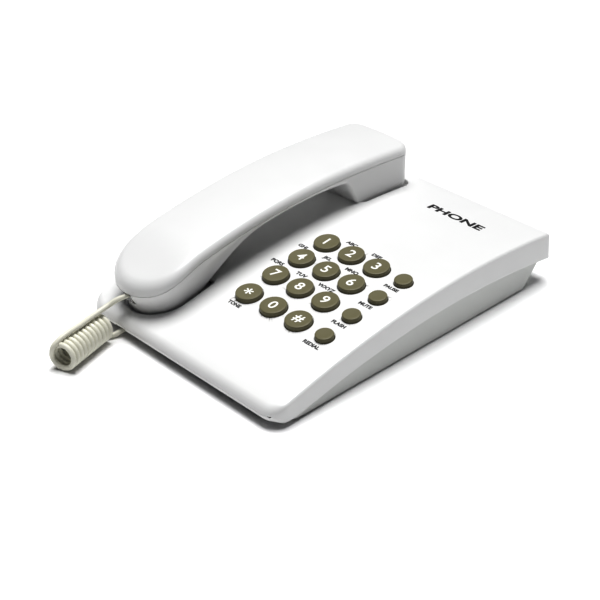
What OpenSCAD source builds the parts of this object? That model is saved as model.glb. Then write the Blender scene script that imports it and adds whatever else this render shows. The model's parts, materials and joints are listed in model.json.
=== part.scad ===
// Corded desk telephone: arched base with a dial keypad, handset on its cradle, coiled cord.
// Millimetres. +X right, +Y to the rear, +Z up. Origin on the table, under the base's centre.

/* [Base] */
// Overall width of the base
base_w = 150; // [148:0.5:152]
// Front tip of the base, behind the origin by this much when positive
nose_y = -108; // [-109:0.5:-107]
// Wall thickness of the base housing
wall = 2.4; // [2:0.1:2.8]
// Corner radius of the base, seen from above
corner_r = 10; // [8:0.5:12]
// Radius of the arched top
top_r = 560; // [540:5:580]
// Radius of the arched joint between top and bottom housing
seam_r = 520; // [510:5:530]
// Height of the feet
foot_h = 1; // [0.8:0.1:1.2]

/* [Keypad] */
// Diameter of a dial key
key_d = 14.8; // [14:0.1:15.2]
// Height of a dial key above the housing
key_h = 2.7; // [2.2:0.1:3.2]
// Distance between key columns
key_pitch_x = 19.1; // [18.8:0.1:19.4]
// Distance between key rows
key_pitch_y = 19.6; // [19.3:0.1:19.9]
// Diameter of a function key
fn_d = 10.1; // [9.5:0.1:10.5]
// Height of a function key above the housing
fn_h = 2.5; // [2:0.1:3]
// Key travel
key_travel = 1.5; // [1:0.1:1.6]

/* [Handset] */
// Height of the handset's highest point
hs_top_z = 60; // [59:0.5:61]
// Width of the earpiece end
ear_w = 50; // [49:0.5:50.5]
// Radius of the round mouthpiece end, where it rests in the housing
mouth_r = 19.4; // [19:0.1:19.6]
// Radius of the round mouthpiece end, at its widest
mouth_top_r = 24.4; // [24:0.1:24.6]
// Wall thickness of the handset shells
hs_wall = 2; // [1.8:0.1:2.2]

/* [Cord] */
// Thickness of the cord
cord_d = 3; // [2.8:0.1:3]
// Outer diameter of the coil
coil_d = 16; // [15:0.5:16]

/* [Hidden] */

fine = 360;
small = 48;
big = 200;
eps = 0.01;

// Base: side outline
top_crest = [48.6, 33.7];
seam_crest = [34.6, 18.7];
nose_r = 4.6;
nose_low_z = 3;
lip_end_y = -88;
rear_lip_y = 96.2;
rear_low = [108.1, 13.5];
rear_slope = 0.218;
rear_corner_r = 3.5;
pan_front_y = -94;
pan_rear_y = 106;
pan_corner_r = 3;
pan_rear_slope = [[88, 1], [101.5, 16.45]];
pan_rear_inside = [[86.9, 2.8], [97.2, 14.6]];
pan_half_w = 73.6;
pan_floor = 1.8;
seam_gap = 0.25;
half_w = base_w / 2;

// Cradle recesses for the handset
recess_depth = 5;
recess_floor = 2;
recess_gap = 1.6;
hs_x = -47;
mouth_y = -78.4;
mouth_z = [19, 31];
ear_y0 = 51.6;
ear_y1 = 95.2;
ear_r = 6;

// Keypad: columns, rows, board
key_x0 = -1.8;
key_y0 = -54.5;
fn_x = 55.8;
fn_y0 = -54.7;
fn_pitch_y = 19.75;
key_mid_y = key_y0 + 1.5 * key_pitch_y;
key_tilt = asin((top_crest[0] - key_mid_y) / top_r);
key_hole_gap = 0.4;
flange_top = -3.4;
flange_t = 1;
flange_extra = 1.3;
stem_r = 2.8;
fn_stem_r = 2;
board_depth = 11;
board_t = 1.6;
membrane_t = 1;
collar_h = 2.6;
collar_t = 1.6;
collar_gap = 0.5;
post_x = [7.75, 46.1];
post_y = [-44.7, -5.5];
post_r = 2.6;

// Fasteners
screw_r = 1.45;
pilot_r = 1.5;
screw_head_r = 2.8;
screw_head_h = 1.8;
base_screw_xy = [[-60, -50], [60, -80], [-60, 72], [60, 80]];
well_r = 5;
well_top = 6;
foot_y = [-66, 56];
boss_r = 4;

// Main board, hook switch and ringer
main_z = 8;
main_x = [-54, 48];
main_y = [-4, 76];
main_screw_xy = [[-48, 2], [42, 2], [-48, 60], [42, 70]];
hook_xy = [-47, 75];
hook_r = 4.5;
hook_lift = 4;
switch_h = 5.8;
ringer_xy = [30, -40];
ringer_r = 12;

// Jacks and slide switches
jack_x = -48;
jack_y = [-80, -67];
line_x = -10;
mode_x = 22;
ring_switch_x = 46;
knob_travel = 4;

// Cord routes
lead_route = [[-47, -101.5, 23.8], [-47, -103.3, 23.8], [-49, -107.5, 22.4],
    [-51, -112, 20], [-51, -119, 18.6], [-50, -126, 18.1], [-48, -134, 18],
    [-47, -141, 17.8], [-46.4, -147, 16.6],
    [-46.8, -151.4, 13.6], [-47.8, -153, 10.5], [-48.2, -152, 8]];
coil_route = [[-42, -150, 8.1], [-44.5, -142, 8.1], [-47, -134, 8.1], [-49.5, -126, 8.1],
    [-53, -114.5, 8.1]];
base_lead_route = [[-51.5, -115, 1.8], [-49.5, -113, 1.9], [-48.3, -110, 2.2], [-48, -105, 3.2],
    [-48, -99, 4.1], [-48, -93, 4.6], [-48, -88, 5.6], [-48, -84, 6.8]];

// Height of the arched top and of the joint line at a distance y
function arc_z(y, crest, r) = crest[1] - r + sqrt(r * r - pow(y - crest[0], 2));
function top_z(y) = arc_z(y, top_crest, top_r);
function key_drop(y) = (top_z(y) - top_z(key_mid_y)) * cos(key_tilt)
    - (y - key_mid_y) * sin(key_tilt);
function key_x(column) = key_x0 + column * key_pitch_x;
function key_y(row) = key_y0 + row * key_pitch_y;
function fn_y(row) = fn_y0 + row * fn_pitch_y;

// ---------- helpers ----------

// Draws a side outline (Y, Z) and runs it along X
module along_x(x0, x1) {
    translate([x0, 0, 0]) rotate([90, 0, 90]) linear_extrude(x1 - x0) children();
}

module rounded_rect(x0, x1, y0, y1, r) {
    translate([x0 + r, y0]) square([x1 - x0 - 2 * r, y1 - y0]);
    translate([x0, y0 + r]) square([x1 - x0, y1 - y0 - 2 * r]);
    for (x = [x0 + r, x1 - r], y = [y0 + r, y1 - r]) translate([x, y]) circle(r, $fn = small);
}

module disc_2d(crest, r, inset) {
    translate([crest[0], crest[1] - r]) circle(r - inset, $fn = 2 * fine);
}

module box(x, y, z) {
    translate([x[0], y[0], z[0]]) cube([x[1] - x[0], y[1] - y[0], z[1] - z[0]]);
}

module rod(r, z0, z1) {
    translate([0, 0, z0]) cylinder(h = z1 - z0, r = r, $fn = small);
}

// Tube along a route, with one radius per route point
module swept(route, radii, sides) {
    last = len(route) - 1;
    function unit(v) = v / norm(v);
    function heading(i) = unit(route[min(i + 1, last)] - route[max(i - 1, 0)]);
    function ring(i) = let (
        t = heading(i),
        u = unit(cross(t, [1, 0, 0])),
        v = cross(t, u)
    ) [for (k = [0 : sides - 1]) route[i]
        + radii[i] * (cos(360 * k / sides) * u + sin(360 * k / sides) * v)];
    points = [for (i = [0 : last]) each ring(i)];
    walls = [for (i = [0 : last - 1], k = [0 : sides - 1]) [
        i * sides + k, i * sides + (k + 1) % sides,
        (i + 1) * sides + (k + 1) % sides, (i + 1) * sides + k]];
    start_cap = [for (k = [sides - 1 : -1 : 0]) k];
    end_cap = [for (k = [0 : sides - 1]) last * sides + k];
    polyhedron(points, concat(walls, [start_cap, end_cap]));
}

module screw(top) {
    rod(screw_head_r, -screw_head_h, 0);
    rod(screw_r, -eps, top);
}

// ---------- base housing ----------

module cover_outline() {
    difference() {
        intersection() {
            disc_2d(top_crest, top_r, 0);
            union() {
                translate([nose_y + nose_r, nose_low_z + nose_r]) circle(nose_r, $fn = small);
                polygon([[nose_y + nose_r, nose_low_z],
                    [rear_low[0] + rear_slope * (rear_low[1] - nose_low_z), nose_low_z],
                    [rear_low[0] - rear_slope * (45 - rear_low[1]), 45],
                    [nose_y + nose_r, 45]]);
            }
        }
        disc_2d(seam_crest, seam_r, 0);
    }
}

module cover_inside_outline() {
    difference() {
        intersection() {
            disc_2d(top_crest, top_r, wall);
            polygon([[nose_y + nose_r, nose_low_z + wall], [lip_end_y, nose_low_z + wall],
                [lip_end_y, -5],
                [rear_low[0] - wall + rear_slope * (rear_low[1] + 5), -5],
                [rear_low[0] - wall - rear_slope * (45 - rear_low[1]), 45],
                [nose_y + nose_r, 45]]);
        }
        // underside of the rear overhang stays closed
        intersection() {
            disc_2d(seam_crest, seam_r, -wall);
            translate([rear_lip_y, -10]) square([40, 50]);
        }
    }
}

// The front corners are round, and the rear ones nearly square
module base_plan(inset) {
    rounded_rect(-half_w + inset, half_w - inset, nose_y + inset, rear_low[0] - inset - 5,
        corner_r - inset);
    rounded_rect(-half_w + inset, half_w - inset, 0, rear_low[0] - inset, rear_corner_r);
}

module mouth_plan(grow) {
    translate([hs_x, mouth_y]) circle(mouth_r + grow, $fn = big);
    translate([hs_x - mouth_r - grow, mouth_y]) square([2 * (mouth_r + grow), 20]);
}

module ear_plan(grow) {
    rounded_rect(hs_x - ear_w / 2 - grow, hs_x + ear_w / 2 + grow, ear_y0 - grow,
        ear_y1 + grow, ear_r + grow);
    rounded_rect(hs_x - ear_w / 2 - grow, hs_x + ear_w / 2 + grow, ear_y0 - grow,
        ear_y0 + 20, 2);
}

module recess_plans(grow) {
    mouth_plan(grow + 0.2);
    ear_plan(grow - 0.2);
}

module at_key(x, y) {
    translate([x, y, top_z(y)]) rotate([key_tilt, 0, 0]) children();
}

module at_board() {
    translate([0, key_mid_y, top_z(key_mid_y)]) rotate([key_tilt, 0, 0]) children();
}

module base_top_cover() {
    color("white") difference() {
        union() {
            difference() {
                intersection() {
                    along_x(-half_w, half_w) cover_outline();
                    linear_extrude(60) base_plan(0);
                }
                intersection() {
                    along_x(-half_w, half_w) cover_inside_outline();
                    translate([0, 0, -10]) linear_extrude(70) base_plan(wall);
                }
            }
            // cradle tubs, screw bosses and keypad posts, all trimmed to the arched top
            intersection() {
                along_x(-half_w, half_w) disc_2d(top_crest, top_r, 0.5);
                union() {
                    difference() {
                        translate([0, 0, 3]) linear_extrude(57) intersection() {
                            recess_plans(recess_gap + recess_floor);
                            base_plan(1);
                        }
                        along_x(-80, 80) disc_2d(top_crest, top_r, recess_depth + recess_floor);
                    }
                    for (p = base_screw_xy) translate([p[0], p[1], 0]) rod(boss_r, well_top, 32);
                    for (x = post_x, y = post_y) at_key(x, y)
                        rod(post_r, -board_depth - key_drop(y), 0);
                }
            }
        }
        difference() {
            linear_extrude(60) recess_plans(recess_gap);
            along_x(-80, 80) disc_2d(top_crest, top_r, recess_depth);
        }
        for (i = [0 : 2], j = [0 : 3]) at_key(key_x(i), key_y(j))
            rod(key_d / 2 + key_hole_gap, -6, 6);
        for (j = [0 : 3]) at_key(fn_x, fn_y(j)) rod(fn_d / 2 + key_hole_gap, -6, 6);
        translate([hook_xy[0], hook_xy[1], 0]) rod(hook_r + 0.3, 20, 40);
        for (p = base_screw_xy) translate([p[0], p[1], 0]) rod(pilot_r, 0, 13);
        for (x = post_x, y = post_y) at_key(x, y) rod(pilot_r, -15, -5);
        box([jack_x - 4, jack_x + 4], [nose_y - 2, lip_end_y + 2], [0, 6]);
    }
}

module pan_outline() {
    intersection() {
        disc_2d(seam_crest, seam_r, seam_gap);
        polygon([[pan_front_y - 1, foot_h], pan_rear_slope[0], pan_rear_slope[1],
            [pan_rear_slope[1][0], 30], [pan_front_y - 1, 30]]);
    }
}

module pan_inside_outline() {
    floor_z = foot_h + pan_floor;
    polygon([[pan_front_y, floor_z], pan_rear_inside[0], pan_rear_inside[1],
        [pan_rear_inside[1][0], 30], [pan_front_y, 30]]);
}

module base_bottom_cover() {
    floor_z = foot_h + pan_floor;
    color("gainsboro") difference() {
        union() {
            difference() {
                intersection() {
                    along_x(-half_w, half_w) pan_outline();
                    linear_extrude(30) rounded_rect(-pan_half_w, pan_half_w, pan_front_y,
                        pan_rear_y, pan_corner_r);
                }
                intersection() {
                    along_x(-half_w, half_w) pan_inside_outline();
                    linear_extrude(40) rounded_rect(-pan_half_w + 2, pan_half_w - 2,
                        pan_front_y + 2, pan_rear_y - 2, pan_corner_r - 2);
                }
            }
            for (p = base_screw_xy) translate([p[0], p[1], 0]) rod(well_r, foot_h, well_top);
            for (p = main_screw_xy) translate([p[0], p[1], 0]) rod(3, foot_h + 1, main_z);
        }
        for (p = base_screw_xy) translate([p[0], p[1], 0]) {
            rod(screw_r + 0.25, 0, 10);
            rod(screw_head_r + 0.4, 0, 4);
        }
        for (p = main_screw_xy) translate([p[0], p[1], 0]) rod(pilot_r, 3, 10);
        for (x = [-56, 56], y = foot_y) translate([x, y, 0]) rod(6.1, 0, foot_h + 0.8);
        for (k = [-2 : 2]) box([ringer_xy[0] - 8, ringer_xy[0] + 8],
            [ringer_xy[1] + 4 * k - 0.75, ringer_xy[1] + 4 * k + 0.75], [0, 5]);
        box([line_x - 6.2, line_x + 6.2], [80, 100], [floor_z - 0.2, 12.5]);
        for (x = [mode_x, ring_switch_x]) box([x - 2, x + knob_travel + 2], [80, 100], [5, 9]);
    }
}

module rubber_feet() {
    color("dimgray") for (x = [-56, 56], y = foot_y) translate([x, y, 0])
        rod(6, 0, foot_h + 0.8);
}

module base_screws() {
    color("silver") for (p = base_screw_xy) translate([p[0], p[1], 4]) screw(8.5);
}

// ---------- keypad ----------

module keypad_board() {
    color("darkgreen") at_board() difference() {
        translate([0, 0, -board_depth - board_t]) linear_extrude(board_t)
            rounded_rect(-13, 65, -39, 40, 2);
        for (x = post_x, y = post_y) translate([x, (y - key_mid_y) / cos(key_tilt), 0])
            rod(pilot_r + 0.1, -20, 0);
    }
}

module collar(r) {
    difference() {
        rod(r + collar_gap + collar_t, 0, collar_h);
        rod(r + collar_gap, -1, collar_h + 1);
    }
}

module keypad_membrane() {
    color("lightgray") at_board() translate([0, 0, -board_depth]) {
        difference() {
            linear_extrude(membrane_t) rounded_rect(-12, 64, -38, 39, 2);
            for (x = post_x, y = post_y) translate([x, (y - key_mid_y) / cos(key_tilt), 0])
                rod(post_r + 0.8, -1, 3);
        }
        for (i = [0 : 2], j = [0 : 3])
            translate([key_x(i), (key_y(j) - key_mid_y) / cos(key_tilt), membrane_t - eps])
                collar(stem_r);
        for (j = [0 : 3])
            translate([fn_x, (fn_y(j) - key_mid_y) / cos(key_tilt), membrane_t - eps])
                collar(fn_stem_r);
    }
}

module keypad_screws() {
    color("silver") for (x = post_x, y = post_y) at_key(x, y)
        translate([0, 0, -board_depth - board_t - key_drop(y)]) screw(5.5);
}

// One key: cap, retaining flange below the housing, and stem over its contact
module key(x, y, d, h, stem) {
    foot_z = -board_depth - key_drop(y) + membrane_t + key_travel + 0.4;
    color([0.43, 0.41, 0.29]) at_key(x, y) {
        rod(d / 2, flange_top - flange_t, h);
        rod(d / 2 + flange_extra, flange_top - flange_t, flange_top);
        rod(stem, foot_z, flange_top);
    }
}

module dial_key(column, row) {
    key(key_x(column), key_y(row), key_d, key_h, stem_r);
}

module function_key(row) {
    key(fn_x, fn_y(row), fn_d, fn_h, fn_stem_r);
}

// ---------- electronics in the base ----------

module main_board() {
    color("darkgreen") difference() {
        box(main_x, main_y, [main_z, main_z + board_t]);
        for (p = main_screw_xy) translate([p[0], p[1], 0]) rod(pilot_r + 0.1, 0, 20);
    }
}

module main_board_screws() {
    color("silver") for (p = main_screw_xy) translate([p[0], p[1], main_z + board_t])
        mirror([0, 0, 1]) screw(5.5);
}

module dialer_chip() {
    color([0.12, 0.12, 0.12]) translate([-5, 22, main_z + board_t]) cube([20, 8, 3.5]);
}

module line_capacitor() {
    color("royalblue") translate([28, 40, main_z + board_t]) rod(5, 0, 11);
}

module ringer() {
    color([0.15, 0.15, 0.15]) translate([ringer_xy[0], ringer_xy[1], foot_h + pan_floor])
        difference() {
            rod(ringer_r, 0, 7);
            rod(2, 5, 8);
        }
}

module hook_switch() {
    color([0.2, 0.2, 0.22]) translate([hook_xy[0], hook_xy[1], main_z + board_t]) {
        translate([-6.5, -5, 0]) cube([13, 6, switch_h]);
        translate([-6.5, -5, 0]) cube([13, 6, 0.5]);
        translate([0, -0.5, 0]) rod(1.2, 0, switch_h + 0.5);
        rod(4.4, 0, switch_h);
    }
}

module hook_spring() {
    turns = 4;
    steps = 14 * turns;
    z0 = main_z + board_t + switch_h + 0.3;
    rise = 4.4;
    route = [for (i = [0 : steps]) [
        hook_xy[0] + 3.2 * cos(360 * turns * i / steps),
        hook_xy[1] + 3.2 * sin(360 * turns * i / steps),
        z0 + rise * i / steps]];
    color("silver") spring_tube(route, 0.25, 6);
}

// Tube whose rings follow a helix, oriented by the vertical
module spring_tube(route, r, sides) {
    last = len(route) - 1;
    function unit(v) = v / norm(v);
    function heading(i) = unit(route[min(i + 1, last)] - route[max(i - 1, 0)]);
    function ring(i) = let (
        t = heading(i),
        u = unit(cross(t, [0, 0, 1])),
        v = cross(t, u)
    ) [for (k = [0 : sides - 1]) route[i]
        + r * (cos(360 * k / sides) * u + sin(360 * k / sides) * v)];
    points = [for (i = [0 : last]) each ring(i)];
    walls = [for (i = [0 : last - 1], k = [0 : sides - 1]) [
        i * sides + k, i * sides + (k + 1) % sides,
        (i + 1) * sides + (k + 1) % sides, (i + 1) * sides + k]];
    polyhedron(points, concat(walls, [[for (k = [sides - 1 : -1 : 0]) k],
        [for (k = [0 : sides - 1]) last * sides + k]]));
}

module hook_plunger() {
    floor_z = top_z(hook_xy[1]) - recess_depth;
    flange_z = floor_z - recess_floor - hook_lift - 0.5;
    switch_top = main_z + board_t + switch_h + 0.8;
    color("white") translate([hook_xy[0], hook_xy[1], 0]) {
        rod(hook_r, flange_z - 1.2, floor_z + 0.2);
        rod(hook_r + 2, flange_z - 1.2, flange_z);
        rod(1.8, switch_top, flange_z);
    }
}

// Modular socket: a box with a rectangular mouth in its front face
module socket(w, d, h, mouth_w, mouth_h, mouth_d) {
    difference() {
        translate([-w / 2, 0, 0]) cube([w, d, h]);
        translate([-mouth_w / 2, -1, (h - mouth_h) / 2]) cube([mouth_w, mouth_d + 1, mouth_h]);
    }
}

module line_jack() {
    color([0.15, 0.15, 0.15]) translate([line_x, 91.5, foot_h + pan_floor]) rotate([0, 0, 180])
        socket(12, 13.5, 9.5, 9.8, 6.9, 10.5);
}

module base_cord_jack() {
    color([0.15, 0.15, 0.15]) translate([jack_x, jack_y[0], foot_h + pan_floor])
        socket(11.2, jack_y[1] - jack_y[0], 8, 7.9, 6.7, 11);
}

module slide_switch(x) {
    color("silver") translate([x, 0, 0]) box([-5, 9], [83.3, 87.8], [4, 10]);
}

// Knob at the left end of its travel
module slide_knob(x) {
    color("white") translate([x, 0, 0]) {
        box([-1.6, 1.6], [88.1, 94.8], [5.6, 8.4]);
    }
}

// ---------- handset ----------

hs_crest_y = 38;
hs_arc_r = [470, 500];
hs_under_r = 200;
hs_under_crest = [21.6, 50.6];
hs_drop = 4.5;
hs_split = 6.5;
mic_y = -75.6;
mic_seat_z = 19;
receiver_y = 76;
jack_front_y = -95;
jack_seat_z = 19.4;
weight_y = [-54, -42];
weight_z = [38.2, 44];
// Handset screws: x, y and the height at which the head meets its seat
hs_screws = [[hs_x, 55.2, 33], [hs_x, -60, 27]];

// Side outline of the whole handset
module handset_outline() {
    difference() {
        handset_top_discs(0);
        translate([top_crest[0], top_crest[1] - top_r]) circle(top_r - hs_drop, $fn = 2 * fine);
        intersection() {
            translate([hs_under_crest[0], hs_under_crest[1] - hs_under_r])
                circle(hs_under_r, $fn = 2 * fine);
            polygon([[-75, 12], [-32, 42.5], [-32, 70], [40, 70], [42, 51], [52.5, 30],
                [52.5, -20], [-75, -20]]);
        }
    }
}

// Area below the handset's arched back, lowered by an inset
module handset_top_discs(inset) {
    for (k = [0, 1]) intersection() {
        translate([hs_crest_y, hs_top_z - hs_arc_r[k]])
            circle(hs_arc_r[k] - inset, $fn = 2 * fine);
        translate([hs_crest_y - (k == 0 ? 200 : 0), 0]) square([200, 80]);
    }
}

// Rear part of the handset's plan, from the grip to the earpiece
module handset_plan(inset) {
    polygon([[hs_x - mouth_top_r + inset, -40], [hs_x + mouth_top_r - inset, -40],
        [hs_x + ear_w / 2 - inset, ear_y0 + 10], [hs_x - ear_w / 2 + inset, ear_y0 + 10]]);
    rounded_rect(hs_x - ear_w / 2 + inset, hs_x + ear_w / 2 - inset, ear_y0 + inset,
        ear_y1 - inset, ear_r - inset);
}

// Mouthpiece end: straight in the recess, flaring out above it, and straight again
module mouth_solid(inset) {
    translate([hs_x, mouth_y, 0]) {
        cylinder(h = mouth_z[0], r = mouth_r - inset, $fn = big);
        translate([0, 0, mouth_z[0]]) cylinder(h = mouth_z[1] - mouth_z[0],
            r1 = mouth_r - inset, r2 = mouth_top_r - inset, $fn = big);
        translate([0, 0, mouth_z[1]]) cylinder(h = 30, r = mouth_top_r - inset, $fn = big);
    }
    translate([hs_x, -39.5, 0]) rotate([90, 0, 0]) linear_extrude(-39.5 - mouth_y)
        polygon([[-mouth_r + inset, 0], [mouth_r - inset, 0],
            [mouth_r - inset, mouth_z[0]], [mouth_top_r - inset, mouth_z[1]],
            [mouth_top_r - inset, 60], [-mouth_top_r + inset, 60],
            [-mouth_top_r + inset, mouth_z[1]], [-mouth_r + inset, mouth_z[0]]]);
}

module handset_form(inset) {
    intersection() {
        along_x(hs_x - 30, hs_x + 30) offset(delta = -inset) handset_outline();
        union() {
            linear_extrude(70) handset_plan(inset);
            mouth_solid(inset);
        }
    }
}

module handset_upper_shell() {
    color("white") union() {
        difference() {
            handset_form(0);
            handset_form(hs_wall);
            along_x(-90, 0) handset_top_discs(hs_split);
        }
        difference() {
            intersection() {
                for (p = hs_screws) translate([p[0], p[1], 0]) rod(3.2, p[2] + 3, 70);
                along_x(-90, 0) handset_top_discs(1);
            }
            for (p = hs_screws) translate([p[0], p[1], 0]) rod(pilot_r, 20, p[2] + 19);
        }
    }
}

module handset_lower_shell() {
    color("white") difference() {
        union() {
            difference() {
                intersection() {
                    handset_form(0);
                    along_x(-90, 0) handset_top_discs(hs_split + 0.1);
                }
                handset_form(hs_wall);
            }
            // screw bosses, and seats for the microphone, the jack and the weight
            intersection() {
                handset_form(0.5);
                union() {
                    for (p = hs_screws) translate([p[0], p[1], 0]) rod(4.2, 0, p[2] + 2.6);
                    translate([hs_x, mic_y, 0]) rod(6.8, 0, mic_seat_z);
                    box([hs_x - 5, hs_x + 5], [jack_front_y + 1, -84], [0, jack_seat_z]);
                    box([hs_x - 6, hs_x + 6], weight_y, [0, weight_z[0]]);
                }
            }
        }
        for (p = hs_screws) translate([p[0], p[1], 0]) {
            rod(screw_r + 0.25, 0, 40);
            rod(screw_head_r + 0.4, 0, p[2]);
        }
        // sound holes of the earpiece and the mouthpiece
        for (k = [0 : 5]) translate([hs_x + 7 * cos(60 * k), receiver_y + 7 * sin(60 * k), 0])
            rod(1.1, 20, 36);
        translate([hs_x, receiver_y, 0]) rod(1.1, 20, 36);
        for (k = [-1 : 1]) translate([hs_x + 3 * k, mic_y, 0]) rod(0.8, 5, mic_seat_z + 1);
        // window of the cord jack
        box([hs_x - 4.2, hs_x + 4.2], [-110, jack_front_y], [20.2, 29.6]);
    }
}

module handset_screws() {
    color("silver") for (p = hs_screws) translate(p) screw(16);
}

module handset_cord_jack() {
    color([0.15, 0.15, 0.15]) translate([hs_x, jack_front_y, jack_seat_z])
        socket(10.8, 12.4, 8.8, 7.9, 6.9, 11);
}

module receiver() {
    color([0.2, 0.2, 0.2]) translate([hs_x, receiver_y, 0]) difference() {
        rod(14.5, 33.4, 40.8);
        rod(5, 39.8, 42);
    }
}

module receiver_gasket() {
    color("black") translate([hs_x, receiver_y, 0]) difference() {
        rod(15, 31.4, 33.3);
        rod(11, 31, 34);
    }
}

module microphone() {
    color("silver") translate([hs_x, mic_y, 0]) rod(4.8, mic_seat_z + 2, mic_seat_z + 7.8);
}

module microphone_boot() {
    color("black") translate([hs_x, mic_y, mic_seat_z]) difference() {
        rod(6.6, 0, 3.8);
        rod(4.9, 1.9, 5);
        rod(4.2, -1, 5);
    }
}

module handset_weight() {
    color("gray") translate([hs_x, 0, 0]) box([-12, 12], weight_y, weight_z);
}

// ---------- cord ----------

module modular_plug(w, h, d) {
    translate([-w / 2, 0, 0]) cube([w, d, h]);
}

module cord_plug_handset() {
    color("ivory") translate([hs_x, -101.5, 20.6]) modular_plug(7.6, 6.4, 15);
}

module cord_plug_base() {
    color("ivory") translate([jack_x, -84, foot_h + pan_floor + 0.7]) modular_plug(7.6, 6.4, 14);
}

module cord_lead_handset() {
    color("ivory") swept(lead_route, [for (p = lead_route) cord_d / 2], 8);
}

module cord_coil() {
    color("ivory") swept(coil_route, [for (p = coil_route) coil_d / 2], 20);
}

module cord_lead_base() {
    color("ivory") swept(base_lead_route, [for (p = base_lead_route) cord_d / 2], 8);
}

// ---------- nodes ----------

base_top_cover();
base_bottom_cover();
rubber_feet();
base_screws();
keypad_board();
keypad_membrane();
keypad_screws();
main_board();
main_board_screws();
dialer_chip();
line_capacitor();
ringer();
hook_switch();
hook_spring();
hook_plunger();
line_jack();
base_cord_jack();
slide_switch(mode_x);  // dial_mode_switch
slide_knob(mode_x);  // dial_mode_knob
slide_switch(ring_switch_x);  // ringer_switch
slide_knob(ring_switch_x);  // ringer_knob
dial_key(0, 3);  // key_1
dial_key(1, 3);  // key_2
dial_key(2, 3);  // key_3
dial_key(0, 2);  // key_4
dial_key(1, 2);  // key_5
dial_key(2, 2);  // key_6
dial_key(0, 1);  // key_7
dial_key(1, 1);  // key_8
dial_key(2, 1);  // key_9
dial_key(0, 0);  // key_star
dial_key(1, 0);  // key_0
dial_key(2, 0);  // key_hash
function_key(0);  // key_redial
function_key(1);  // key_flash
function_key(2);  // key_mute
function_key(3);  // key_pause
handset_upper_shell();
handset_lower_shell();
handset_screws();
handset_cord_jack();
receiver();
receiver_gasket();
microphone();
microphone_boot();
handset_weight();
cord_plug_handset();
cord_lead_handset();
cord_coil();
cord_lead_base();
cord_plug_base();
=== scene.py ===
"""Corded desk telephone: the visual model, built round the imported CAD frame.

Shapes are worked out in millimetres in the CAD's own frame and made in metres.
"""
import json
import math

import bmesh
import bpy
from mathutils import Matrix, Vector


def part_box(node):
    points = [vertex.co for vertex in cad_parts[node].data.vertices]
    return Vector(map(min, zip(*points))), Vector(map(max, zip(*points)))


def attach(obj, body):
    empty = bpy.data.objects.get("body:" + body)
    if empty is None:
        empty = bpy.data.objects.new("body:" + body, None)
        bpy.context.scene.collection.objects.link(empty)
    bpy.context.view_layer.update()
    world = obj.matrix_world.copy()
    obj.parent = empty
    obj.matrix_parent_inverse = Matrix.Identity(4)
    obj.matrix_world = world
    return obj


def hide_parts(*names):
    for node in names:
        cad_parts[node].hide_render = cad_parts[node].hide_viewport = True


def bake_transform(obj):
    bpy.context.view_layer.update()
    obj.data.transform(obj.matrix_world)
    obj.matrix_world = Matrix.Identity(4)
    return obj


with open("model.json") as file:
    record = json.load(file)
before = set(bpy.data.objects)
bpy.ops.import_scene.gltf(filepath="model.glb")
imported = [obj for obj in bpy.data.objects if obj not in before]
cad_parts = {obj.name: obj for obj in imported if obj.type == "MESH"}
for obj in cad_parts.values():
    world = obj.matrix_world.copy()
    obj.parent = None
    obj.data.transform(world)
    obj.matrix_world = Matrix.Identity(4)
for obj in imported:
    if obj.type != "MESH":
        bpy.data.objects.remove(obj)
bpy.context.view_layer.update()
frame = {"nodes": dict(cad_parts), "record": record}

MM = 0.001

# ---------- main dimensions, in millimetres ----------

HALF_W = 75.0
NOSE_Y = -108.0
REAR_Y = 109.8
REAR_Z = 13.5
REAR_SLOPE = 0.18
REAR_TOP_Z = 31.0
CORNER_R = 10.0
REAR_CORNER_R = 2.2
TOP_ARC = (48.6, 33.7, 560.0)
SEAM_ARC = (34.6, 18.7, 520.0)
NOSE_LOW_Z = 3.0
WALL = 2.4
REAR_LEDGE_Y = 96.2
CORD_SLOT_X = (-52.0, -44.0)
CORD_SLOT_END_Y = -86.0
RECESS_DEPTH = 5.0
RECESS_GAP = 1.6

HS_X = -47.0
MOUTH_Y = -78.4
MOUTH_R = 19.4
EAR_Y0 = 51.6
EAR_Y1 = 95.2
EAR_HALF_W = 25.0
EAR_R = 6.0
HS_CREST_Y = 38.0
HS_TOP_Z = 60.0
HS_FRONT_R = 470.0
HS_REAR_R = 700.0
HS_REAR_Y = 96.0
HS_REAR_CORNER_R = 9.0
HS_CROWN = 1.5
HS_SPLIT = 6.5
HS_MOUTH_R = 24.3
HS_MOUTH_BULGE = 1.7
HS_MOUTH_Y = -77.5
HS_TAPER = 4.9
HS_DROP = 5.0
HS_WALL = 2.0
HS_ROUNDING = 8
HS_FACE_EDGE_R = 2.4
HS_GROOVE = 0.3
HS_SINK = 4.5
GRIP_ARC = (21.6, 50.6, 200.0)
GRIP_CROWN = 3.6
MOUTH_BLOCK_Y, MOUTH_BLOCK_Z, MOUTH_BLOCK_SLOPE = -66.0, 19.0, 0.70
EAR_BLOCK_Y, EAR_BLOCK_Z, EAR_BLOCK_SLOPE = 41.0, 51.0, 2.05
EAR_STEP_Y = 34.0
CORD_EXIT = ((HS_X - 10.0, HS_X + 4.2), (-108.0, -93.0), (18.8, 31.5))
RECEIVER_Y, MICROPHONE_Y = 76.0, -75.6
EAR_HOLE_R, EAR_HOLE_CIRCLE = 1.1, 7.0
MOUTH_HOLE_R, MOUTH_HOLE_PITCH = 0.8, 3.0

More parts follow.
